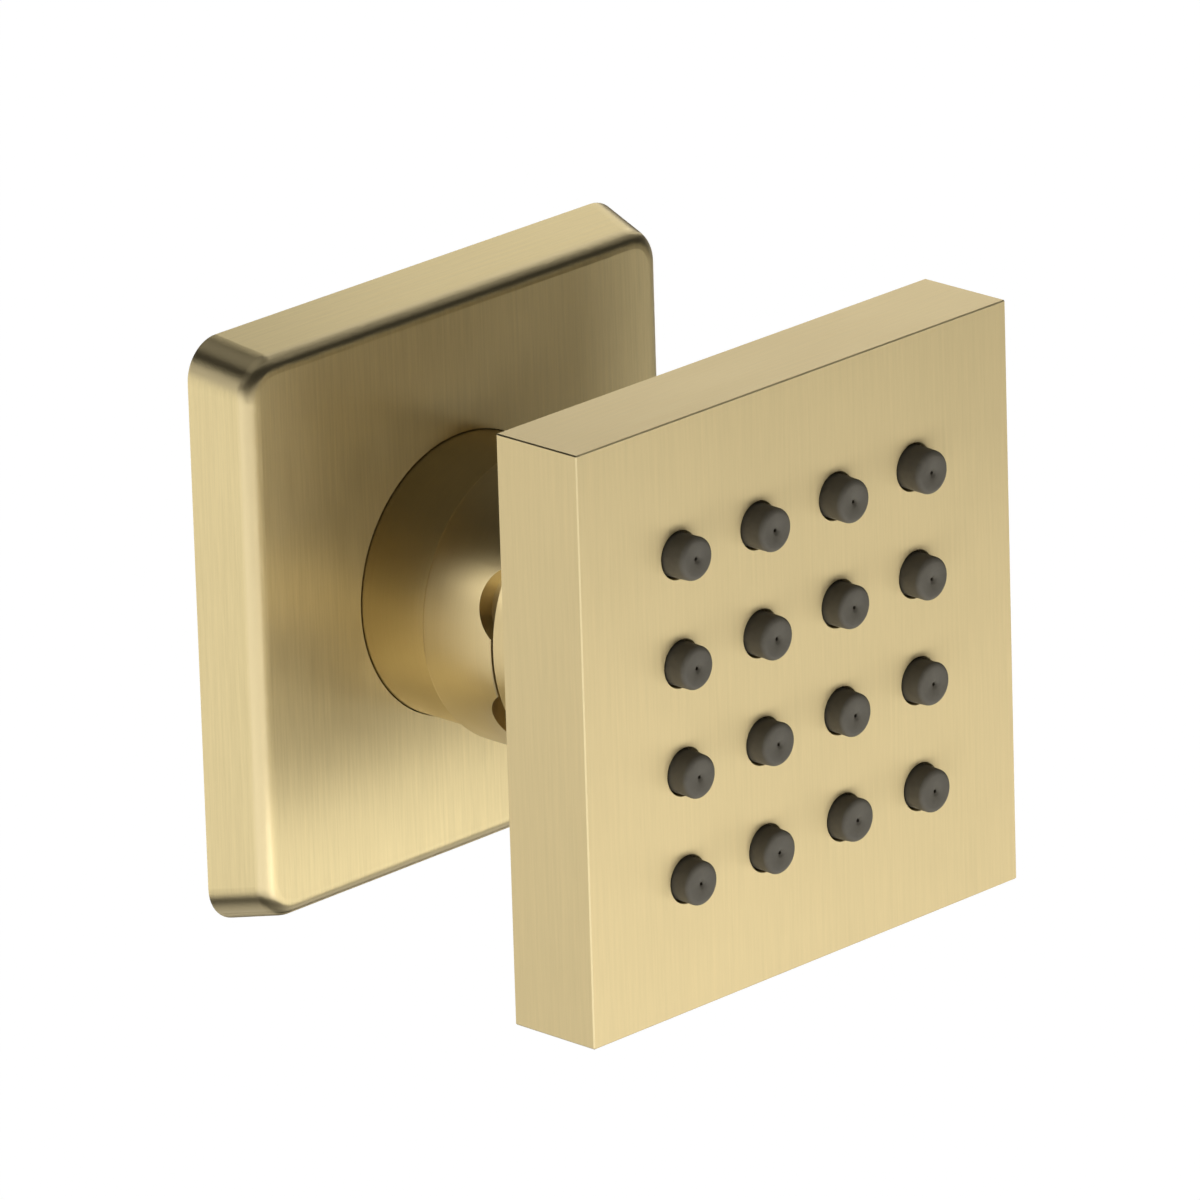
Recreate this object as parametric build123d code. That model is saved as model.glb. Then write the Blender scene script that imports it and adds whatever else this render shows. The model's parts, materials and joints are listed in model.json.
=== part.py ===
from build123d import *
import math
import os

# A square body jet for a shower wall. All lengths are in millimetres.
# Every piece is drawn on the jet's own axis: Z runs out of the wall from the wall plane,
# X to the right and Y up. At the end each piece is turned so that the jet faces -Y and
# +Z is up, with the origin in the middle of the plate's back, on the wall.

# Inlet in the back of the neck, for a half-inch pipe thread
thread_radius = 9.3
thread_length = 9.0
washer_step = 0.7
washer_hole_radius = 6.2
washer_height = 1.5
screen_height = 0.3
screen_hole_radius = 0.5
screen_hole_pitch = 1.6
screen_rings = 3

# Flow regulator behind the ball
regulator_height = 1.9
regulator_wall = 1.3
regulator_post_radius = 1.6
regulator_hole_radius = 0.5
regulator_hole_count = 8
regulator_cord_radius = 0.45

# Ball joint
ball_radius = 8.5
water_radius = 3.3
stem_step = 0.9
stem_root_round = 1.0
stem_end_bevel = 0.5
tilt_limit = 15.0
ball_swing_gap = 0.4
stem_swing_gap = 0.6
seat_gap = 0.1
cup_gap = 0.7
rear_seat_angles = (11.0, 31.0)
front_seat_angles = (15.0, 35.0)
seat_cord_radius = 0.8

# Neck: a collar through the plate, then a wider barrel that carries the nut
barrel_length = 7.8
barrel_step = 0.5
barrel_to_ball = 0.8
spigot_wall = 1.7
turned_edge = 0.08
barrel_rim_run = 0.35
barrel_rim_drop = 0.15
notch_count = 7
notch_radius = 3.55
notch_reach = 1.6
notch_depth = 1.5
notch_shelf = 0.1
notch_first_angle = 161.3

# Nut that holds the ball in the neck
nut_step = 0.1
nut_gap = 0.15
nut_lip = 0.9
nut_hex_wall = 1.2
nut_hex_bevel = 0.8
nut_opening_gap = 0.33

# Wall plate that slides over the collar
plate_side = 50.2
plate_thickness = 5.7
plate_draft = 12.5
plate_corner_round = 3.3
plate_front_round = 1.6
plate_wall = 1.5
plate_hub_wall = 3.2
plate_hub_setback = 0.8
plate_cord_radius = 0.8

# Spray head
head_side = 50.0
head_thickness = 8.8
head_reach = 13.1
head_edge = 0.1
head_wall = 2.0
head_face = 2.2
head_ledge = 1.5
head_inner_round = 1.0
pad_side = 5.0

# Back cover of the head, with the boss that takes the stem
cover_thickness = 2.3
boss_wall = 2.55
boss_foot_round = 1.5
boss_edge = 0.6
boss_lip = 1.7
boss_lip_step = 0.3
stem_washer_height = 1.2
cover_gasket_height = 0.5

# Cover screws, countersunk
screw_radius = 1.25
screw_head_radius = 2.3
screw_head_height = 1.1
screw_length = 5.4
screw_socket_width = 1.5
screw_socket_depth = 0.7

# Nozzles: one soft mat behind the face and a stiff plate behind the mat
nozzle_rows = 4
nozzle_pitch = 9.15
nozzle_hole_radius = 2.0
nozzle_hole_edge = 0.06
nozzle_gap = 0.16
nozzle_taper = 0.02
nozzle_reach = 2.15
nozzle_tip_round = 0.45
jet_radius = 0.16
jet_mouth_radius = 0.45
jet_mouth_depth = 0.22
jet_length = 1.6
feed_radius = 1.2
mat_height = 1.2
spray_plate_height = 1.6
spray_plate_rim = 1.4

# Clearances
slip = 0.1
fit = 0.05
hair = 0.02

BASE = (Align.CENTER, Align.CENTER, Align.MIN)


def ball_height(angle):
    """Distance from the ball's centre to the ring of its surface at this angle from the equator."""
    return ball_radius * math.sin(math.radians(angle))


# Places along the axis, counted from the wall
pocket_start = thread_length
passage_start = pocket_start + washer_height + screen_height
ball_centre = passage_start + regulator_height + ball_swing_gap + ball_radius
barrel_front = ball_centre - barrel_to_ball
barrel_back = barrel_front - barrel_length
rear_seat_front = ball_centre - ball_height(rear_seat_angles[0])
rear_seat_back = ball_centre - ball_height(rear_seat_angles[1])
seat_cord_centre = rear_seat_back - hair - seat_cord_radius
cup_floor = seat_cord_centre - seat_cord_radius - hair
front_seat_back = ball_centre + ball_height(front_seat_angles[0])
front_seat_front = ball_centre + ball_height(front_seat_angles[1])
spigot_front = front_seat_back - 3 * slip
nut_back = barrel_front + nut_gap
nut_front = front_seat_front + nut_lip
head_back = ball_centre + head_reach
head_front = head_back + head_thickness
cover_front = head_back + cover_thickness
ledge_level = cover_front + cover_gasket_height
face_inside = head_front - head_face
mat_back = face_inside - mat_height
spray_plate_back = mat_back - spray_plate_height
boss_washer_front = cover_front - boss_lip
boss_washer_back = boss_washer_front - stem_washer_height
stem_end = boss_washer_back - slip

# Radii that follow from the ball, from the inside out
cup_radius = ball_radius + cup_gap
seat_radius = ball_radius + seat_gap
rear_seat_radius = cup_radius - fit
front_seat_radius = cup_radius + fit
spigot_radius = cup_radius + spigot_wall
barrel_radius = spigot_radius + notch_shelf + notch_depth
neck_radius = barrel_radius - barrel_step
nut_radius = barrel_radius - nut_step
nut_opening_radius = math.sqrt((ball_radius + nut_opening_gap) ** 2 - (front_seat_front - ball_centre) ** 2)
passage_radius = math.sqrt(ball_radius ** 2 - (ball_centre - cup_floor) ** 2) + ball_swing_gap + 2 * slip
regulator_radius = passage_radius - slip
seat_cord_ring = math.sqrt(
    (ball_radius + seat_gap + seat_cord_radius) ** 2 - (ball_centre - seat_cord_centre) ** 2
)
hub_radius = neck_radius + slip + plate_hub_wall
regulator_cup = 2 * regulator_cord_radius + 2 * slip
washer_radius = thread_radius - washer_step

# The stem clears the nut's opening when it is tilted as far as it goes, and the boss on its
# end stops short of the nut.
tilt = math.radians(tilt_limit)
nut_height = nut_front - ball_centre
stem_radius = (nut_opening_radius - nut_height * math.tan(tilt)) * math.cos(tilt) - stem_swing_gap
stem_end_radius = stem_radius + stem_step
boss_radius = stem_end_radius + fit + boss_wall
boss_lip_hole_radius = water_radius + boss_lip_step
boss_back = ball_centre + (nut_height + ball_swing_gap + boss_radius * math.sin(tilt)) / math.cos(tilt)

# Sides of the head's inner spaces
cover_pocket_side = head_side - 2 * head_wall
chamber_side = cover_pocket_side - 2 * head_ledge
pad_place = (chamber_side - pad_side) / 2

# Nozzles, narrower than their holes and tapered to the tip
nozzle_base_radius = nozzle_hole_radius - nozzle_gap
nozzle_tip_radius = nozzle_base_radius - nozzle_taper


def disc(radius, low, high):
    """Round bar on the axis between two distances from the wall."""
    return Pos(0, 0, low) * Cylinder(radius, high - low, align=BASE)


def tube(outer, inner, low, high):
    """Ring on the axis between two distances from the wall."""
    return disc(outer, low, high) - disc(inner, low, high)


def cord_ring(ring_radius, cord_radius, level):
    """Round sealing cord, closed into a ring about the axis."""
    return Pos(0, 0, level) * Torus(ring_radius, cord_radius)


def turned(points):
    """Solid of revolution from the corners (radius, distance from the wall) of its half section."""
    section = make_face(Polyline(*points, close=True))
    return revolve(Plane.XZ * section, Axis.Z)


def screw_places(level):
    """The four corners of the head where the cover is screwed down."""
    return Pos(0, 0, level) * GridLocations(2 * pad_place, 2 * pad_place, 2, 2)


def nozzle_places(level):
    """The square field of nozzles."""
    return Pos(0, 0, level) * GridLocations(nozzle_pitch, nozzle_pitch, nozzle_rows, nozzle_rows)


def chamber_outline(gap):
    """Plan of the water chamber, notched at its corners for the screw pads, shrunk by a gap."""
    outline = Rectangle(chamber_side - 2 * gap, chamber_side - 2 * gap)
    pad = Rectangle(pad_side + 2 * gap, pad_side + 2 * gap)
    for place in screw_places(0):
        outline -= place * pad
    return fillet(outline.vertices(), head_inner_round)


def edges_at(solid, level):
    """Edges of a solid that lie in one plane across the axis."""
    return solid.edges().filter_by_position(Axis.Z, level - hair, level + hair)


def wall_plate():
    """Hollow square plate with leaning sides, a soft front edge and a hub round the collar."""
    plate = plate_block(0, plate_thickness)
    plate = fillet(edges_at(plate, plate_thickness), plate_front_round)
    plate -= plate_block(plate_wall, plate_thickness - plate_wall)
    plate += tube(hub_radius, neck_radius, plate_hub_setback, plate_thickness - plate_wall / 2)
    plate -= disc(neck_radius + slip, 0, plate_thickness)
    groove = cord_groove_radius()
    groove_half = plate_cord_radius + slip
    level = plate_cord_level()
    return plate - tube(groove, neck_radius, level - groove_half, level + groove_half)


def plate_block(inset, height):
    """Rounded square block on the wall whose sides lean inwards, set in from the plate's sides."""
    lean = math.radians(plate_draft)
    corner = plate_corner_round - inset
    back_side = plate_side - 2 * inset / math.cos(lean)
    front_side = back_side - 2 * height * math.tan(lean)
    back = RectangleRounded(back_side, back_side, corner)
    front = Pos(0, 0, height) * RectangleRounded(front_side, front_side, corner)
    return loft([back, front], ruled=True)


def cord_groove_radius():
    """Floor of the groove in the hub: the cord lies between it and the collar."""
    return neck_radius + 2 * plate_cord_radius + 2 * hair


def plate_cord_level():
    """Middle of the hub's height, where the cord groove runs."""
    return (plate_hub_setback + plate_thickness) / 2


def wall_gasket():
    """Foam pad that fills the plate's hollow and seals it to the tiles."""
    inset = plate_wall + slip
    return plate_block(inset, plate_thickness - inset) - disc(hub_radius + slip, 0, plate_thickness)


def plate_o_ring():
    """Cord in the hub that grips the collar and keeps the plate against the wall."""
    return cord_ring(neck_radius + hair + plate_cord_radius, plate_cord_radius, plate_cord_level())


def neck_body():
    """Turned neck: threaded inlet, collar, barrel with spanner notches, and the ball's cup."""
    edge = turned_edge
    outside = [
        (0, 0),
        (neck_radius - edge, 0),
        (neck_radius, edge),
        (neck_radius, barrel_back),
        (barrel_radius - barrel_rim_drop, barrel_back),
        (barrel_radius, barrel_back + barrel_rim_run),
        (barrel_radius, barrel_front - edge),
        (barrel_radius - edge, barrel_front),
        (spigot_radius, barrel_front),
        (spigot_radius, spigot_front),
        (0, spigot_front),
    ]
    neck = turned(outside)
    neck -= disc(thread_radius, 0, thread_length)
    neck -= disc(washer_radius + slip, pocket_start, passage_start)
    neck -= disc(passage_radius, passage_start, cup_floor)
    neck -= disc(cup_radius, cup_floor, spigot_front)
    notch_level = barrel_front - notch_reach + notch_radius
    floor_radius = barrel_radius - notch_depth
    cutter = Cylinder(notch_radius, 2 * notch_depth, align=BASE)
    for index in range(notch_count):
        angle = notch_first_angle + index * 360 / notch_count
        neck -= Rot(0, 0, angle) * Pos(floor_radius, 0, notch_level) * Rot(0, 90, 0) * cutter
    return neck


def inlet_washer():
    """Rubber washer that the wall pipe presses on."""
    return tube(washer_radius, washer_hole_radius, pocket_start, pocket_start + washer_height)


def filter_screen():
    """Thin round strainer between the washer and the neck."""
    screen = disc(washer_radius, passage_start - screen_height, passage_start)
    hole = disc(screen_hole_radius, passage_start - screen_height, passage_start)
    screen -= hole
    for ring in range(1, screen_rings + 1):
        screen -= PolarLocations(ring * screen_hole_pitch, 6 * ring) * hole
    return screen


def regulator_body():
    """Plastic insert that steadies the flow: a shallow cup with a post and a ring of holes."""
    front = passage_start + regulator_height
    body = disc(regulator_radius, passage_start, front)
    body -= disc(regulator_radius - regulator_wall, passage_start, passage_start + regulator_cup)
    body += disc(regulator_post_radius, passage_start + slip, front)
    ring_radius = regulator_post_radius + hair + regulator_cord_radius
    hole = disc(regulator_hole_radius, passage_start, front)
    return body - PolarLocations(ring_radius, regulator_hole_count) * hole


def regulator_o_ring():
    """Soft ring that squeezes over the regulator's holes as the pressure rises."""
    level = passage_start + regulator_cup - hair - regulator_cord_radius
    return cord_ring(regulator_post_radius + hair + regulator_cord_radius, regulator_cord_radius, level)


def seat_o_ring():
    """Seal behind the ball, in the corner of the cup."""
    return cord_ring(seat_cord_ring, seat_cord_radius, seat_cord_centre)


def ball_seat(radius, low, high):
    """Plastic ring hollowed to the ball."""
    return disc(radius, low, high) - Pos(0, 0, ball_centre) * Sphere(seat_radius)


def rear_seat():
    """Ring behind the ball's widest part."""
    return ball_seat(rear_seat_radius, rear_seat_back, rear_seat_front)


def front_seat():
    """Ring in the nut, in front of the ball's widest part."""
    return ball_seat(front_seat_radius, front_seat_back, front_seat_front)


def swivel_nut():
    """Nut with a round flange and a hexagon, screwed on the neck over the ball."""
    edge = turned_edge
    pocket_radius = front_seat_radius + fit
    flange = turned([
        (0, nut_back),
        (nut_radius - edge, nut_back),
        (nut_radius, nut_back + edge),
        (nut_radius, front_seat_back - edge),
        (nut_radius - edge, front_seat_back),
        (0, front_seat_back),
    ])
    hex_outline = RegularPolygon(pocket_radius + nut_hex_wall, 6, major_radius=False)
    hexagon = Pos(0, 0, front_seat_back) * extrude(hex_outline, nut_front - front_seat_back)
    corner_radius = (pocket_radius + nut_hex_wall) / math.cos(math.radians(30))
    bevel_foot = nut_front - nut_hex_bevel / 2
    hexagon &= turned([
        (0, front_seat_back),
        (corner_radius, front_seat_back),
        (corner_radius, bevel_foot),
        (corner_radius - nut_hex_bevel, nut_front),
        (0, nut_front),
    ])
    nut = flange + hexagon
    nut -= disc(spigot_radius + fit, nut_back, front_seat_back)
    nut -= disc(pocket_radius, front_seat_back, front_seat_front)
    return nut - disc(nut_opening_radius, front_seat_front, nut_front)


def ball_stem():
    """Ball and hollow stem, turned in one piece."""
    shoulder = boss_back - ball_swing_gap
    ball = Pos(0, 0, ball_centre) * Sphere(ball_radius)
    stem = turned([
        (0, ball_centre),
        (stem_radius, ball_centre),
        (stem_radius, shoulder),
        (stem_end_radius, shoulder),
        (stem_end_radius, stem_end - stem_end_bevel),
        (stem_end_radius - stem_end_bevel, stem_end),
        (0, stem_end),
    ])
    piece = ball + stem
    root = math.sqrt(ball_radius ** 2 - stem_radius ** 2) + ball_centre
    piece = fillet(edges_at(piece, root), stem_root_round)
    mouth = ball_centre - ball_radius
    return piece - disc(water_radius, mouth, stem_end)


def stem_washer():
    """Washer between the end of the stem and the boss's inner lip."""
    return tube(stem_end_radius, boss_lip_hole_radius, boss_washer_back, boss_washer_front)


def back_cover():
    """Square cover let into the back of the head, with the boss for the stem."""
    side = cover_pocket_side - 2 * slip
    plate = Pos(0, 0, head_back) * extrude(RectangleRounded(side, side, head_inner_round), cover_thickness)
    boss = disc(boss_radius, boss_back, cover_front)
    cover = plate + boss
    foot = edges_at(cover, head_back).filter_by(GeomType.CIRCLE).sort_by(SortBy.LENGTH)[-1]
    cover = fillet(foot, boss_foot_round)
    cover = chamfer(edges_at(cover, boss_back), boss_edge)
    cover -= disc(stem_end_radius + fit, boss_back, boss_washer_front)
    cover -= disc(boss_lip_hole_radius, boss_washer_front, cover_front)
    sink = screw_sink()
    for place in screw_places(head_back):
        cover -= place * sink
    return cover


def screw_sink():
    """Countersunk hole through the cover, from its back face."""
    radius = screw_radius + slip
    head_radius = screw_head_radius + slip
    cone = Cone(head_radius, radius, screw_head_height, align=BASE)
    return cone + Cylinder(radius, cover_thickness, align=BASE)


def cover_gasket():
    """Flat seal between the cover and the ledge in the head."""
    side = cover_pocket_side - 2 * slip
    frame = RectangleRounded(side, side, head_inner_round) - chamber_outline(0)
    hole = Circle(screw_radius + slip)
    for place in screw_places(0):
        frame -= place * hole
    return Pos(0, 0, cover_front) * extrude(frame, cover_gasket_height)


def cover_screws():
    """Four countersunk screws with a hexagon socket."""
    head = Cone(screw_head_radius, screw_radius, screw_head_height, align=BASE)
    screw = head + Cylinder(screw_radius, screw_length, align=BASE)
    socket = extrude(RegularPolygon(screw_socket_width / 2, 6, major_radius=False), screw_socket_depth)
    screw -= socket
    return Compound([place * screw for place in screw_places(head_back)])


def head_shell():
    """Square head milled from solid, open at the back, with the field of nozzle holes."""
    shell = Pos(0, 0, head_back) * Box(head_side, head_side, head_thickness, align=BASE)
    shell = chamfer(shell.edges(), head_edge)
    pocket = RectangleRounded(cover_pocket_side, cover_pocket_side, head_inner_round)
    shell -= Pos(0, 0, head_back) * extrude(pocket, ledge_level - head_back)
    shell -= Pos(0, 0, ledge_level) * extrude(chamber_outline(0), face_inside - ledge_level)
    hole = Cylinder(nozzle_hole_radius, head_face, align=BASE)
    edge_radius = nozzle_hole_radius + nozzle_hole_edge
    hole += Pos(0, 0, head_face - nozzle_hole_edge) * Cone(
        nozzle_hole_radius, edge_radius, nozzle_hole_edge, align=BASE
    )
    shell -= [place * hole for place in nozzle_places(face_inside)]
    screw_end = head_back + screw_length + 2 * slip
    screw_hole = Cylinder(screw_radius + fit, screw_end - ledge_level, align=BASE)
    shell -= [place * screw_hole for place in screw_places(ledge_level)]
    return shell


def spray_plate():
    """Stiff plastic plate that holds the mat against the face and feeds each nozzle."""
    outline = chamber_outline(slip)
    plate = Pos(0, 0, spray_plate_back) * extrude(outline, spray_plate_height)
    rim = outline - offset(outline, -spray_plate_rim)
    plate += Pos(0, 0, cover_front + fit) * extrude(rim, spray_plate_back - cover_front)
    hole = Cylinder(feed_radius, spray_plate_height, align=BASE)
    return plate - [place * hole for place in nozzle_places(spray_plate_back)]


def nozzle_mat():
    """Soft mat with the nozzles moulded on it, their tips past the face."""
    mat = Pos(0, 0, mat_back) * extrude(chamber_outline(slip), mat_height)
    top = head_front + nozzle_reach - mat_back
    shoulder = top - nozzle_tip_round
    middle = nozzle_tip_round * math.sqrt(0.5)
    foot = mat_height / 2
    side = Polyline((0, top), (0, foot), (nozzle_base_radius, foot), (nozzle_tip_radius, shoulder))
    tip = ThreePointArc(
        (nozzle_tip_radius, shoulder),
        (nozzle_tip_radius - nozzle_tip_round + middle, shoulder + middle),
        (nozzle_tip_radius - nozzle_tip_round, top),
    )
    flat = Line((nozzle_tip_radius - nozzle_tip_round, top), (0, top))
    nozzle = revolve(Plane.XZ * make_face(side + tip + flat), Axis.Z)
    mat += [place * nozzle for place in nozzle_places(mat_back)]
    bore = Cylinder(jet_radius, top, align=BASE) + Cylinder(feed_radius, top - jet_length, align=BASE)
    bore += Pos(0, 0, top - jet_mouth_depth) * Cone(jet_radius, jet_mouth_radius, jet_mouth_depth, align=BASE)
    return mat - [place * bore for place in nozzle_places(mat_back)]


pieces = [
    wall_plate, wall_gasket, plate_o_ring, neck_body, inlet_washer, filter_screen,
    regulator_body, regulator_o_ring, seat_o_ring, rear_seat, front_seat, swivel_nut,
    ball_stem, stem_washer, back_cover, cover_gasket, cover_screws, head_shell,
    spray_plate, nozzle_mat,
]

os.makedirs("parts", exist_ok=True)
for piece in pieces:
    export_step(Rot(90, 0, 0) * piece(), "parts/" + piece.__name__ + ".step")
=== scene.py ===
# %% [markdown]
# # A square body jet for a shower wall
#
# The object is a small brass fitting: a square plate lies on the tiles, a round neck comes
# out of it, and a square spray head with soft grey nozzles sits on a ball joint at the end.
# The solids come from the CAD model at their real size, with Y into the wall and Z up, and
# this lesson gives them their finishes, their finer shapes, their light and the camera.

# %% Load the model and keep its box
import json
import math
import random
import bmesh
import bpy
from mathutils import Matrix, Vector


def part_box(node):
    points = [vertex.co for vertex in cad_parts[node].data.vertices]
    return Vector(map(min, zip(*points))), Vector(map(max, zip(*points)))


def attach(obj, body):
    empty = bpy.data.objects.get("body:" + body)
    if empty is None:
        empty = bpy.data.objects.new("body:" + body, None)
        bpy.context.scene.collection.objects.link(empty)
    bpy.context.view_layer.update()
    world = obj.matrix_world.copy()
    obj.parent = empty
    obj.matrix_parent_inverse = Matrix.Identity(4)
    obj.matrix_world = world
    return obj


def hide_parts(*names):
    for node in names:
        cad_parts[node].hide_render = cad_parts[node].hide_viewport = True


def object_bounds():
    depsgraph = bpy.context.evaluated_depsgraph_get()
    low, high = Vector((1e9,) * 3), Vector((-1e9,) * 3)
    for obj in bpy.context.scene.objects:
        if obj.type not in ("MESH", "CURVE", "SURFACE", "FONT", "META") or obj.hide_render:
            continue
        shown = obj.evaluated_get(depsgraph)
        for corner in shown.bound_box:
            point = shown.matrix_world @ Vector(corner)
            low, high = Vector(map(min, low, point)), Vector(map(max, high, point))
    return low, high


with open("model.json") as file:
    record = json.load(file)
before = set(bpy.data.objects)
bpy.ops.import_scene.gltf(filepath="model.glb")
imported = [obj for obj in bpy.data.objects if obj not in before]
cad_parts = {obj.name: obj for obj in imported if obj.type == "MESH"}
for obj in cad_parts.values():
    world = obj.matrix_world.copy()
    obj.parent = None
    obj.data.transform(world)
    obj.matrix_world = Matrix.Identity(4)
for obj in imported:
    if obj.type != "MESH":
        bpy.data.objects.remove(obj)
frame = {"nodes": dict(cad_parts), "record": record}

MM = 0.001
cad_low, cad_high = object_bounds()
nodes = frame["nodes"]
print("pieces:", len(nodes), "box in mm:", [round(side / MM, 1) for side in cad_high - cad_low])

# %% [markdown]
# A material in Blender is a small network of nodes, and writing one by hand takes many lines.
# These helpers make one node, one node group and one material, so that the cells below can
# stay close to what the finish is.

# %% Helpers for shader nodes
def node(tree, kind, inputs=None, **settings):
    """Adds a shader node. An input that is given a socket is linked, and any other value is set."""
    made = tree.nodes.new("ShaderNode" + kind)
    for name, value in settings.items():
        setattr(made, name, value)
    for name, value in (inputs or {}).items():
        if isinstance(value, bpy.types.NodeSocket):
            tree.links.new(value, made.inputs[name])
        else:
            made.inputs[name].default_value = value
    return made


def math_node(tree, operation, first, second=0.0, third=0.0):
    """One step of arithmetic on numbers or sockets."""
    return node(tree, "Math", {0: first, 1: second, 2: third}, operation=operation).outputs[0]


def vector_node(tree, operation, first, second):
    """One step of arithmetic on vectors."""
    return node(tree, "VectorMath", {0: first, 1: second}, operation=operation).outputs[0]


def stretch(tree, amount, low, high, start=0.0, end=1.0, smooth=False):
    """Carries an amount from the range start to end into the range low to high."""
    kind = "SMOOTHSTEP" if smooth else "LINEAR"
    made = node(tree, "MapRange", {0: amount, 1: start, 2: end, 3: low, 4: high}, interpolation_type=kind)
    return made.outputs[0]


def full_range(tree, noise):
    """Noise lies mostly between 0.3 and 0.7, and this spreads it over 0 to 1."""
    return stretch(tree, noise, 0.0, 1.0, start=0.3, end=0.7)


def blend(tree, amount, first, second):
    """A number that runs from the first to the second as the amount goes from 0 to 1."""
    return node(tree, "Mix", {0: amount, 2: first, 3: second}).outputs[0]


def blend_colour(tree, amount, first, second):
    """A colour that runs from the first to the second as the amount goes from 0 to 1."""
    ends = [(*colour, 1) if isinstance(colour, tuple) else colour for colour in (first, second)]
    return node(tree, "Mix", {0: amount, 6: ends[0], 7: ends[1]}, data_type="RGBA").outputs[2]


def bump(tree, height, depth):
    """Turns a height from 0 to 1 into small relief of this depth in metres."""
    return node(tree, "Bump", {"Height": height, "Distance": depth}).outputs["Normal"]


print("helpers for shader nodes ready")

# %% [markdown]
# An effect that several finishes share is a node group. It is built once, with named sockets
# at both ends, and each material places it with its own values.

# %% Helpers for groups and materials
def new_group(name, inputs, outputs):
    """An empty node group with named number sockets, and the sockets at both of its ends."""
    tree = bpy.data.node_groups.new(name, "ShaderNodeTree")
    for label, value in inputs.items():
        socket = tree.interface.new_socket(label, in_out="INPUT", socket_type="NodeSocketFloat")
        socket.default_value = value
    for label in outputs:
        tree.interface.new_socket(label, in_out="OUTPUT", socket_type="NodeSocketFloat")
    return tree, tree.nodes.new("NodeGroupInput").outputs, tree.nodes.new("NodeGroupOutput").inputs


def place_group(tree, group, **values):
    """Places a group in a material. Underscores in the names of values stand for spaces."""
    made = tree.nodes.new("ShaderNodeGroup")
    made.node_tree = group
    for name, value in values.items():
        made.inputs[name.replace("_", " ")].default_value = value
    return made.outputs


def new_material(name, **plain):
    """A material with one Principled shader, whose plain numbers are set on the shader itself."""
    made = bpy.data.materials.new(name)
    made.use_nodes = True
    shader = made.node_tree.nodes["Principled BSDF"]
    for label, value in plain.items():
        shader.inputs[label.replace("_", " ")].default_value = value
    return made, made.node_tree, shader.inputs


print("helpers for groups and materials ready")

# %% [markdown]
# ## Brushed grain
#
# The plate and the head are drawn over a belt, which leaves fine straight lines: upright on
# the faces that look forwards and sideways, and along X on the tops and undersides. An image
# of scratches would repeat and needs to be unwrapped. A noise that is squeezed across the
# lines and stretched along them looks just like a brushed face and never repeats. The
# object's own normal says which way a face looks, so one group serves every side.

# %% Group: brushed grain
def facing_up_or_down(tree):
    """1 on faces that look up or down and 0 on upright ones, with a soft change between them."""
    upwards = node(tree, "SeparateXYZ", {0: node(tree, "TexCoord").outputs["Normal"]}).outputs["Z"]
    steepness = math_node(tree, "ABSOLUTE", upwards)
    return stretch(tree, steepness, 0.0, 1.0, start=0.6, end=0.8, smooth=True)


def make_brushed_grain():
    line_sizes = {"Line Width": 0.3, "Line Length": 9.0}
    tree, given, result = new_group("brushed grain", line_sizes, ["Height", "Tone"])
    place = node(tree, "TexCoord").outputs["Object"]
    across = math_node(tree, "DIVIDE", 1 / MM, given["Line Width"])
    along = math_node(tree, "DIVIDE", 1 / MM, given["Line Length"])
    lines = []
    for directions in ((across, across, along), (along, across, across)):
        scale = node(tree, "CombineXYZ", dict(enumerate(directions))).outputs[0]
        spread = vector_node(tree, "MULTIPLY", place, scale)
        noise = node(tree, "TexNoise", {"Vector": spread, "Scale": 1, "Detail": 3, "Roughness": 0.7})
        lines.append(noise.outputs["Fac"])
    height = blend(tree, facing_up_or_down(tree), *lines)
    tree.links.new(height, result["Height"])
    tree.links.new(full_range(tree, height), result["Tone"])
    return tree


brushed_grain = make_brushed_grain()
print("group:", brushed_grain.name, "with", len(brushed_grain.nodes), "nodes")

# %% [markdown]
# ## Turned marks
#
# The neck, the nut and the ball come off a lathe. The tool leaves fine rings about the axis,
# on round walls and on flat ends alike. Rings depend on two numbers only, the distance along
# the axis and the distance from it, so the noise is squeezed in both and hardly changes round
# the circle.

# %% Group: turned marks
def make_turned_marks():
    line_sizes = {"Line Width": 0.16, "Line Length": 10.0}
    tree, given, result = new_group("turned marks", line_sizes, ["Height", "Tone"])
    place = node(tree, "SeparateXYZ", {0: node(tree, "TexCoord").outputs["Object"]}).outputs
    squares = [math_node(tree, "POWER", place[axis], 2.0) for axis in ("X", "Z")]
    radius = math_node(tree, "SQRT", math_node(tree, "ADD", *squares))
    across = math_node(tree, "DIVIDE", 1 / MM, given["Line Width"])
    along = math_node(tree, "DIVIDE", 1 / MM, given["Line Length"])
    spread = node(tree, "CombineXYZ", {
        "X": math_node(tree, "MULTIPLY", place["X"], along),
        "Y": math_node(tree, "MULTIPLY", place["Y"], across),
        "Z": math_node(tree, "MULTIPLY", radius, across),
    }).outputs[0]
    noise = node(tree, "TexNoise", {"Vector": spread, "Scale": 1, "Detail": 2, "Roughness": 0.6})
    height = noise.outputs["Fac"]
    tree.links.new(height, result["Height"])
    tree.links.new(full_range(tree, height), result["Tone"])
    return tree


turned_marks = make_turned_marks()
print("group:", turned_marks.name, "with", len(turned_marks.nodes), "nodes")
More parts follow.
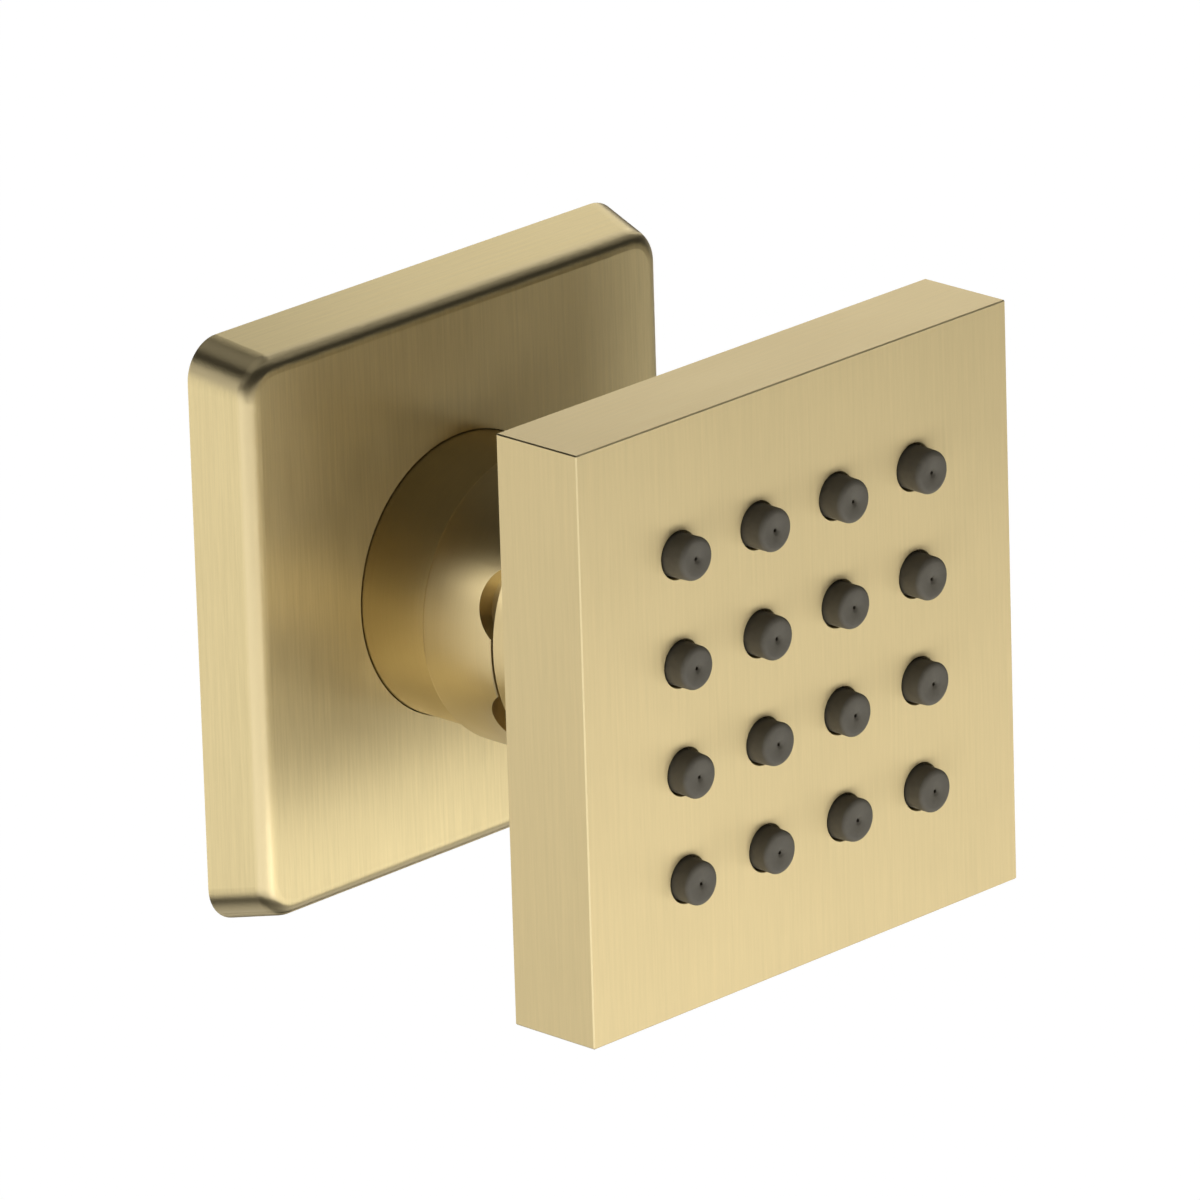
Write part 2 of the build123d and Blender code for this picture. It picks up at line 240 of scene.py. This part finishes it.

# %% [markdown]
# ## Polished edges with painted glints
#
# Hands, cloths and the polishing wheel reach edges first, so a rounded or bevelled edge is
# smoother than the faces beside it. Its colour is also painted a little brighter. This is partly
# wear and partly a painted highlight along the edge. A flat face of a square piece looks straight
# along one axis, and its normal has one part near 1. On a bevel no part is. The same holds for
# turned pieces with the axis and the distance from it. So the normal alone finds the edges,
# whatever the pose.

# %% Group: polished edges with painted glints
def make_polished_glint_edges():
    tree, given, result = new_group("polished glint edges", {"Flat": 0.965, "Edge": 0.90}, ["Square", "Round"])
    facing = node(tree, "TexCoord").outputs["Normal"]
    parts = node(tree, "SeparateXYZ", {0: vector_node(tree, "ABSOLUTE", facing, (0, 0, 0))}).outputs
    sideways = math_node(tree, "SQRT", math_node(
        tree, "ADD", math_node(tree, "POWER", parts["X"], 2.0), math_node(tree, "POWER", parts["Z"], 2.0)
    ))
    largest = math_node(tree, "MAXIMUM", math_node(tree, "MAXIMUM", parts["X"], parts["Z"]), parts["Y"])
    for label, amount in (("Square", largest), ("Round", math_node(tree, "MAXIMUM", sideways, parts["Y"]))):
        mask = stretch(tree, amount, 0.0, 1.0, start=given["Flat"], end=given["Edge"])
        tree.links.new(mask, result[label])
    return tree


polished_glint_edges = make_polished_glint_edges()
print("group:", polished_glint_edges.name, "with", len(polished_glint_edges.nodes), "nodes")

# %% [markdown]
# ## Cloudy tone
#
# No plated or moulded surface is the same all over: the colour drifts a little from place to
# place, and hands leave a faint haze. A slow noise, several millimetres across, gives every
# material here that drift.

# %% Group: cloudy tone
def make_cloudy_tone():
    tree, given, result = new_group("cloudy tone", {"Size": 12.0}, ["Tone"])
    noise = node(tree, "TexNoise", {
        "Vector": node(tree, "TexCoord").outputs["Object"],
        "Scale": math_node(tree, "DIVIDE", 1 / MM, given["Size"]),
        "Detail": 3, "Roughness": 0.55, "Distortion": 0.4,
    })
    tree.links.new(full_range(tree, noise.outputs["Fac"]), result["Tone"])
    return tree


cloudy_tone = make_cloudy_tone()
print("group:", cloudy_tone.name, "with", len(cloudy_tone.nodes), "nodes")

# %% [markdown]
# ## Moulded skin
#
# Silicone, rubber, foam and plastic take the texture of their mould: a very fine pebble with
# a few coarser specks. Two noises of different size are mixed, and the size is an input, so
# the same group gives a smooth nozzle and a coarse foam.

# %% Group: moulded skin
def make_moulded_skin():
    speck_scale, speck_share = 0.23, 0.4
    tree, given, result = new_group("moulded skin", {"Grain": 0.15}, ["Height", "Tone"])
    place = node(tree, "TexCoord").outputs["Object"]
    fine = math_node(tree, "DIVIDE", 1 / MM, given["Grain"])
    coarse = math_node(tree, "MULTIPLY", fine, speck_scale)
    small = node(tree, "TexNoise", {"Vector": place, "Scale": fine, "Detail": 2}).outputs["Fac"]
    large = node(tree, "TexNoise", {"Vector": place, "Scale": coarse, "Detail": 3}).outputs["Fac"]
    tree.links.new(blend(tree, speck_share, small, large), result["Height"])
    tree.links.new(full_range(tree, large), result["Tone"])
    return tree


moulded_skin = make_moulded_skin()
print("group:", moulded_skin.name, "with", len(moulded_skin.nodes), "nodes")

# %% [markdown]
# ## Brushed brass
#
# The plate, the head and its cover have a pale champagne gold, brushed to a satin. It is a
# metal, so its colour sits in the reflections. The lines spread a highlight sideways and keep
# it short along the grain, and the shader's Anisotropic value does that: it stretches the
# highlight along the tangent. Without unwrapping there is no tangent, so it is worked out: the
# cross product of the face's normal and the direction of the lines. The plate's gold is painted
# paler and brighter than the head's. This is painted light for the whiter light that falls on the plate.

# %% Material: brushed brass
head_gold = (0.665, 0.541, 0.290), (0.745, 0.607, 0.332)
# Painted light: the plate's gold is paler and brighter than the head's, for the whiter light on the plate.
plate_gold_painted_light = (0.712, 0.587, 0.312), (0.858, 0.715, 0.392)
# Edges are painted brighter than the faces: partly polish wear, partly a painted highlight.
wear_and_glint_edge_gold = (0.76, 0.63, 0.36)
satin, edge_gloss = (0.42, 0.49), 0.36
line_depth = 0.012 * MM
plate_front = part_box("wall_plate")[0].y - MM


def lay_highlight(tree, shader, lines):
    """Points the shader's tangent across the lines, which are given in the object's own axes."""
    normal = node(tree, "TexCoord").outputs["Normal"]
    across = vector_node(tree, "CROSS_PRODUCT", normal, lines)
    turned = node(tree, "VectorTransform", {0: across}, convert_from="OBJECT", convert_to="WORLD")
    tree.links.new(turned.outputs[0], shader["Tangent"])


def make_brushed_brass():
    cloud_share = 0.35
    made, tree, shader = new_material("brushed brass", Metallic=1.0, Anisotropic=0.9)
    grain = place_group(tree, brushed_grain)
    cloud = place_group(tree, cloudy_tone, Size=16)
    edge = place_group(tree, polished_glint_edges)["Square"]
    tone = blend(tree, cloud_share, grain["Tone"], cloud["Tone"])
    depth = node(tree, "SeparateXYZ", {0: node(tree, "TexCoord").outputs["Object"]}).outputs["Y"]
    on_plate = math_node(tree, "GREATER_THAN", depth, plate_front)
    golds = [blend_colour(tree, tone, *gold) for gold in (head_gold, plate_gold_painted_light)]
    # The plate takes the paler gold, which is painted light.
    face = blend_colour(tree, on_plate, *golds)
    # The edge mask brightens the colour. This is partly wear and partly a painted highlight.
    tree.links.new(blend_colour(tree, edge, face, wear_and_glint_edge_gold), shader["Base Color"])
    tree.links.new(blend(tree, edge, stretch(tree, tone, *satin), edge_gloss), shader["Roughness"])
    tree.links.new(bump(tree, grain["Height"], line_depth), shader["Normal"])
    level = facing_up_or_down(tree)
    upright = math_node(tree, "SUBTRACT", 1.0, level)
    lay_highlight(tree, shader, node(tree, "CombineXYZ", {"X": level, "Z": upright}).outputs[0])
    return made


brushed_brass = make_brushed_brass()
print("material:", brushed_brass.name)

# %% [markdown]
# ## Turned brass
#
# The neck, the nut and the ball stem have the same plating over lathe marks. On the barrel and
# everything in front of it the lines run round the axis: at any point their direction is the
# cross product of the axis and the way out from it. The collar behind the barrel is polished
# lengthwise, which spreads its highlight round it, so the two parts differ where they meet.

# %% Material: turned brass
turned_gold = (0.66, 0.535, 0.285), (0.71, 0.575, 0.31)
# Turned edges are painted brighter too: partly polish wear, partly a painted highlight.
turned_wear_and_glint_edge_gold = (0.75, 0.62, 0.35)
turned_satin, turned_edge_gloss = (0.36, 0.42), 0.30
ring_depth = 0.005 * MM
barrel_start = 13.0 * MM


def make_turned_brass():
    cloud_share = 0.4
    made, tree, shader = new_material("turned brass", Metallic=1.0, Anisotropic=0.6)
    marks = place_group(tree, turned_marks)
    cloud = place_group(tree, cloudy_tone, Size=9)
    edge = place_group(tree, polished_glint_edges)["Round"]
    tone = blend(tree, cloud_share, marks["Tone"], cloud["Tone"])
    face = blend_colour(tree, tone, *turned_gold)
    # The edge mask brightens the colour. This is partly wear and partly a painted highlight.
    tree.links.new(blend_colour(tree, edge, face, turned_wear_and_glint_edge_gold), shader["Base Color"])
    roughness = blend(tree, edge, stretch(tree, tone, *turned_satin), turned_edge_gloss)
    tree.links.new(roughness, shader["Roughness"])
    tree.links.new(bump(tree, marks["Height"], ring_depth), shader["Normal"])
    place = node(tree, "TexCoord").outputs["Object"]
    depth = node(tree, "SeparateXYZ", {0: place}).outputs["Y"]
    on_barrel = math_node(tree, "LESS_THAN", depth, -barrel_start)
    around = vector_node(tree, "CROSS_PRODUCT", (0, 1, 0), place)
    lines = node(tree, "Mix", {0: on_barrel, 4: (0, 1, 0), 5: around}, data_type="VECTOR").outputs[1]
    lay_highlight(tree, shader, lines)
    return made


turned_brass = make_turned_brass()
print("material:", turned_brass.name)

# %% [markdown]
# ## Moulded materials and steel
#
# The nozzles are soft grey silicone, the seals are black rubber, the pad behind the plate is
# foam, the ball's seats are pale plastic and the inner parts are dark plastic. They differ in
# colour, in the size and depth of the pebble, and in gloss, so one function makes them all.
# The strainer and the screws are bead-blasted steel, whose surface is a pebble too.

# %% Material: silicone, seal rubber, foam, plastics and steel
def make_moulded(name, dark, light, grain, depth, roughness, metallic=0.0):
    """A material with a moulded skin. The pebble's grain and depth are in millimetres."""
    cloud_share = 0.5
    made, tree, shader = new_material(name, Metallic=metallic)
    skin = place_group(tree, moulded_skin, Grain=grain)
    cloud = place_group(tree, cloudy_tone, Size=4)
    tone = blend(tree, cloud_share, skin["Tone"], cloud["Tone"])
    tree.links.new(blend_colour(tree, tone, dark, light), shader["Base Color"])
    tree.links.new(stretch(tree, skin["Tone"], *roughness), shader["Roughness"])
    tree.links.new(bump(tree, skin["Height"], depth * MM), shader["Normal"])
    print("material:", name)
    return made


silicone = make_moulded(
    "silicone", (0.130, 0.116, 0.086), (0.172, 0.154, 0.115),
    grain=0.12, depth=0.010, roughness=(0.58, 0.68),
)
seal_rubber = make_moulded(
    "seal rubber", (0.012, 0.012, 0.012), (0.028, 0.028, 0.027),
    grain=0.10, depth=0.010, roughness=(0.5, 0.65),
)
foam = make_moulded(
    "foam", (0.03, 0.03, 0.032), (0.075, 0.075, 0.08),
    grain=0.35, depth=0.12, roughness=(0.85, 0.95),
)
seat_plastic = make_moulded(
    "seat plastic", (0.74, 0.72, 0.66), (0.83, 0.81, 0.75),
    grain=0.15, depth=0.006, roughness=(0.4, 0.5),
)
inner_plastic = make_moulded(
    "inner plastic", (0.05, 0.05, 0.055), (0.085, 0.085, 0.09),
    grain=0.2, depth=0.010, roughness=(0.45, 0.55),
)
steel = make_moulded(
    "steel", (0.5, 0.5, 0.5), (0.62, 0.62, 0.61),
    grain=0.1, depth=0.004, roughness=(0.25, 0.35), metallic=1.0,
)

# %% [markdown]
# ## A material for each piece
#
# The CAD pieces keep their meshes. Each one has a material slot, and the finish goes there.

# %% Give each piece its material
finishes = {
    brushed_brass: ["wall_plate", "head_shell", "back_cover"],
    turned_brass: ["neck_body", "swivel_nut", "ball_stem"],
    silicone: ["nozzle_mat"],
    seal_rubber: [
        "plate_o_ring", "inlet_washer", "regulator_o_ring", "seat_o_ring", "stem_washer", "cover_gasket",
    ],
    foam: ["wall_gasket"],
    seat_plastic: ["rear_seat", "front_seat"],
    inner_plastic: ["regulator_body", "spray_plate"],
    steel: ["filter_screen", "cover_screws"],
}
for finish, pieces in finishes.items():
    for piece in pieces:
        nodes[piece].material_slots[0].material = finish
    print(finish.name, "on", ", ".join(pieces))

# %% [markdown]
# ## Finer shapes on copies
#
# Two pieces have shapes that the CAD model leaves plain. A CAD mesh is never changed, so each
# new piece starts as a copy. Imported meshes have doubled points along their sharp edges. The
# copy merges them, so that it is one closed skin, and marks the sharp edges by their angle.

# %% Helpers for copied pieces
same_point = 0.001 * MM


def copy_form(name):
    """The mesh of a CAD piece, copied for editing, with its doubled points merged."""
    form = bmesh.new()
    form.from_mesh(nodes[name].data)
    bmesh.ops.remove_doubles(form, verts=form.verts, dist=same_point)
    return form


def place_piece(name, form, replaced, body, sharp_angle):
    """Makes a piece of an edited copy. It stands for a CAD piece and moves with that piece's body."""
    mesh = bpy.data.meshes.new(name)
    form.to_mesh(mesh)
    form.free()
    stored_normals = mesh.attributes.get("custom_normal")
    if stored_normals:
        mesh.attributes.remove(stored_normals)
    mesh.shade_smooth()
    mesh.set_sharp_from_angle(angle=math.radians(sharp_angle))
    mesh.materials.clear()
    mesh.materials.append(nodes[replaced].material_slots[0].material)
    piece = bpy.data.objects.new(name, mesh)
    bpy.context.scene.collection.objects.link(piece)
    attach(piece, body)
    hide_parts(replaced)
    print("piece:", name, "with", len(mesh.polygons), "faces")


print("helpers for copied pieces ready")

# %% [markdown]
# ## Soft nozzles
#
# The nozzles are moulded in one mat and poke through holes in the face. They are soft, so no
# two stand quite alike: the upper ones reach a little further out, and each leans its own way.
# A modifier would bend them all together. Instead, rings of points are cut into the
# nozzles, and each point past the face is moved by its own nozzle's reach and lean. The lean
# grows with the square of the height, so a nozzle stays in the middle of its hole.

# %% Piece: nozzle mat
nozzle_pitch = 9.15 * MM
nozzles_per_side = 4
face_level = -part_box("head_shell")[0].y
tip_level = -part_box("nozzle_mat")[0].y
root_depth = 0.4 * MM
root_level = face_level - root_depth
ring_count = 6
on_plane = 1e-8
shorter_per_row = 0.055
uneven_reach = 0.04
most_lean = 0.12 * MM
draw = random.Random(4)


def nozzle_row(along):
    """Row or column of the nozzle at this distance from the middle."""
    return round(along / nozzle_pitch + (nozzles_per_side - 1) / 2)


stance = {}
for row in range(nozzles_per_side):
    for column in range(nozzles_per_side):
        lower = nozzles_per_side - 1 - row
        reach = 1 - shorter_per_row * lower - draw.uniform(0, uneven_reach)
        leans = draw.uniform(-most_lean, most_lean), draw.uniform(-most_lean, most_lean)
        stance[row, column] = reach, *leans

mat_form = copy_form("nozzle_mat")
for ring in range(ring_count):
    level = root_level + ring / ring_count * (tip_level - root_level)
    everything = mat_form.verts[:] + mat_form.edges[:] + mat_form.faces[:]
    bmesh.ops.bisect_plane(
        mat_form, geom=everything, plane_co=(0, -level, 0), plane_no=(0, 1, 0), dist=on_plane
    )
for point in mat_form.verts:
    height = -point.co.y - root_level
    if height > 0:
        reach, lean_x, lean_z = stance[nozzle_row(point.co.z), nozzle_row(point.co.x)]
        share = (height / (tip_level - root_level)) ** 2
        point.co += Vector((lean_x * share, height * (1 - reach), lean_z * share))
place_piece("soft_nozzle_mat", mat_form, "nozzle_mat", "head", sharp_angle=40)

# %% [markdown]
# ## The inlet's thread
#
# The neck screws onto a half-inch pipe. The CAD model leaves its bore plain, as drawings do.
# Here the wall of the bore is taken out of a copy and a threaded wall is put in: rings of
# points whose radius swells and shrinks along the axis, with the wave moved on by one pitch for
# each turn. Round crests and roots are right for a pipe thread, so a cosine does for the
# profile. The wave fades out at both ends, where it has to meet the plain rims.

# %% Piece: neck with its thread
inlet = next(mount for mount in frame["record"]["mounts"] if mount["name"] == "inlet")
bore_radius = inlet["dims"]["r_mm"] * MM
bore_length = inlet["dims"]["length_mm"] * MM
thread_pitch = 1.814 * MM
thread_depth = 1.16 * MM
thread_fade = 0.8 * MM
rings_per_pitch = 10
points_per_ring = 120
wall_slack = 0.02 * MM
rim_slack = 0.01 * MM


def on_bore_wall(face):
    """True for the faces of the plain bore, which look at the axis."""
    places = [point.co for point in face.verts]
    on_radius = all(abs(math.hypot(place.x, place.z) - bore_radius) < wall_slack for place in places)
    in_bore = all(-place.y < bore_length + rim_slack for place in places)
    return on_radius and in_bore and abs(face.normal.y) < 0.5


def thread_radius(angle, level):
    """Radius of the threaded wall at this angle and this distance from the mouth."""
    turns = level / thread_pitch - angle / math.tau
    wave = 0.5 - 0.5 * math.cos(math.tau * turns)
    fade = min(level, bore_length - level) / thread_fade
    return bore_radius + thread_depth * wave * min(1, fade)


neck_form = copy_form("neck_body")
plain_wall = [face for face in neck_form.faces if on_bore_wall(face)]
bmesh.ops.delete(neck_form, geom=plain_wall, context="FACES")
open_rims = [edge for edge in neck_form.edges if edge.is_boundary]
ring_total = round(bore_length / thread_pitch * rings_per_pitch)
rings = []
for index in range(1, ring_total):
    level = bore_length * index / ring_total
    ring = []
    for step in range(points_per_ring):
        angle = math.tau * step / points_per_ring
        radius = thread_radius(angle, level)
        ring.append(neck_form.verts.new((radius * math.cos(angle), -level, radius * math.sin(angle))))
    rings.append(ring)
for outer, inner in zip(rings, rings[1:]):
    for step in range(points_per_ring):
        after = (step + 1) % points_per_ring
        neck_form.faces.new((outer[step], outer[after], inner[after], inner[step]))
for ring, level in ((rings[0], 0.0), (rings[-1], bore_length)):
    ring_edges = [neck_form.edges.get((ring[step - 1], ring[step])) for step in range(points_per_ring)]
    rim_edges = [edge for edge in open_rims if abs(-edge.verts[0].co.y - level) < rim_slack]
    bmesh.ops.bridge_loops(neck_form, edges=ring_edges + rim_edges)
bmesh.ops.recalc_face_normals(neck_form, faces=neck_form.faces)
open_edges = sum(edge.is_boundary for edge in neck_form.edges)
print("plain faces taken out:", len(plain_wall), "open edges left:", open_edges)
place_piece("threaded_neck", neck_form, "neck_body", "neck", sharp_angle=30)

# %% [markdown]
# ## Floor
#
# A product picture of this kind has nothing but white round the object. The floor is a wide
# plane well below it. White light from a floor would fill every shadow and flatten the metal,
# so the floor and the sky are white for the camera alone. The Light Path node tells a ray of
# the camera from one that leaves the object.

# %% Floor
floor_level, floor_side = -1.2, 12.0
bpy.ops.mesh.primitive_plane_add(size=floor_side, location=(0, 0, floor_level))
floor = bpy.context.object
floor.name = "floor"
floor_paint, floor_tree, floor_shader = new_material("floor paint", Roughness=0.9)
floor_shader["Base Color"].default_value = (0.02, 0.02, 0.02, 1)
floor_shader["Emission Color"].default_value = (1, 1, 1, 1)
seen = node(floor_tree, "LightPath").outputs["Is Camera Ray"]
floor_tree.links.new(seen, floor_shader["Emission Strength"])
floor.data.materials.append(floor_paint)
print("floor at", floor_level, "m")

# %% [markdown]
# ## Light
#
# Metal shows its surroundings, so the light is laid out as a photographer would: soft oval
# panels, each where a face of the object mirrors it into the camera. The front panel fills the
# face of the head, those on the left fill its left side and the plate's, and the one behind on
# the right lights the tops. Little comes from above, and that draws the dark lines along the
# upper edges. Small cards close by brighten the lower part of the face and the right end of the
# tops. The panels on the right, above and below are there for the plate's rounded edges and for
# the sides that the camera does not see.

# %% Light
scene = bpy.context.scene
scene.view_settings.view_transform = "Standard"
world = bpy.data.worlds.new("studio")
scene.world = world
world.use_nodes = True
sky = world.node_tree
sky.nodes["Background"].inputs["Color"].default_value = (1, 1, 1, 1)
fill = 0.035
seen = node(sky, "LightPath").outputs["Is Camera Ray"]
sky.links.new(stretch(sky, seen, fill, 1.0), sky.nodes["Background"].inputs["Strength"])

middle = (cad_low + cad_high) / 2


def direction(azimuth, elevation):
    """Unit vector out from the object. Azimuth 0 is the front, -Y, and 90 is the right, +X."""
    turn, rise = math.radians(azimuth), math.radians(elevation)
    return Vector((math.sin(turn) * math.cos(rise), -math.cos(turn) * math.cos(rise), math.sin(rise)))


def panel(name, azimuth, elevation, distance, width, height, glow):
    """A soft oval light that looks at the object. White metal mirrors a glow of 1 as white."""
    lamp = bpy.data.lights.new(name, "AREA")
    lamp.shape = "ELLIPSE"
    lamp.size, lamp.size_y = width, height
    area = math.pi / 4 * width * height
    lamp.energy = glow * math.pi * area
    made = bpy.data.objects.new(name, lamp)
    scene.collection.objects.link(made)
    way = direction(azimuth, elevation)
    made.matrix_world = Matrix.LocRotScale(middle + way * distance, way.to_track_quat("Z", "Y"), None)
    made.visible_camera = False


# Each panel has its azimuth and elevation in degrees, its distance and size in metres, and its glow.
far, near, nearest = 0.7, 0.25, 0.15
panel("front", 0, -19, far, 0.56, 0.85, 1.3)
panel("front_left", 315, -12, far, 0.4, 0.4, 0.4)
panel("left_front", 290, -15, far, 0.35, 0.6, 0.5)
panel("left", 270, -15, far, 0.56, 0.85, 1.05)
panel("back_left", 228, -2, far, 0.56, 0.95, 1.1)
panel("back_left_high", 226, 18, far, 0.4, 0.25, 1.6)
panel("back", 180, -19, far, 0.56, 0.85, 0.5)
panel("back_right", 130, 30, far, 0.45, 0.45, 1.05)
panel("right", 105, -15, far, 0.5, 0.5, 0.5)
panel("right_low", 80, -42, far, 0.5, 0.5, 1.0)
panel("right_high", 75, 42, far, 0.6, 0.5, 0.25)
panel("overhead", 0, 85, far, 0.7, 0.7, 0.3)
panel("below", 180, -58, far, 0.6, 0.6, 0.55)
panel("under", 0, -78, far, 0.6, 0.6, 0.15)
for azimuth, glow in ((-45, 0.6), (0, 1.1), (45, 0.6)):
    panel("card_" + str(azimuth), azimuth, -30, near, 0.2, 0.2, glow)
panel("card_right", 115, 35, nearest, 0.12, 0.12, 0.65)
print("panels:", ", ".join(light.name for light in bpy.data.lights))

# %% [markdown]
# ## Camera
#
# The camera stands to the left of the jet and above it, far off with a long lens, as product
# pictures are taken, so that parallel edges stay nearly parallel.

# %% Camera
camera_azimuth, camera_elevation = -45.54, 19.56
roll = math.radians(-1.752)
target = Vector((-10.29, -31.22, 6.22)) * MM
back = direction(camera_azimuth, camera_elevation)
distance = 1.122
camera_data = bpy.data.cameras.new("camera")
camera_data.sensor_width = 36
image_side, focal_pixels = 1200, 14000
camera_data.lens = camera_data.sensor_width * focal_pixels / image_side
camera = bpy.data.objects.new("camera", camera_data)
scene.collection.objects.link(camera)
turn = (-back).to_track_quat("-Z", "Y").to_matrix() @ Matrix.Rotation(roll, 3, "Z")
camera.matrix_world = Matrix.LocRotScale(target + back * distance, turn.to_quaternion(), None)
scene.camera = camera
print("lens in mm:", round(camera_data.lens))
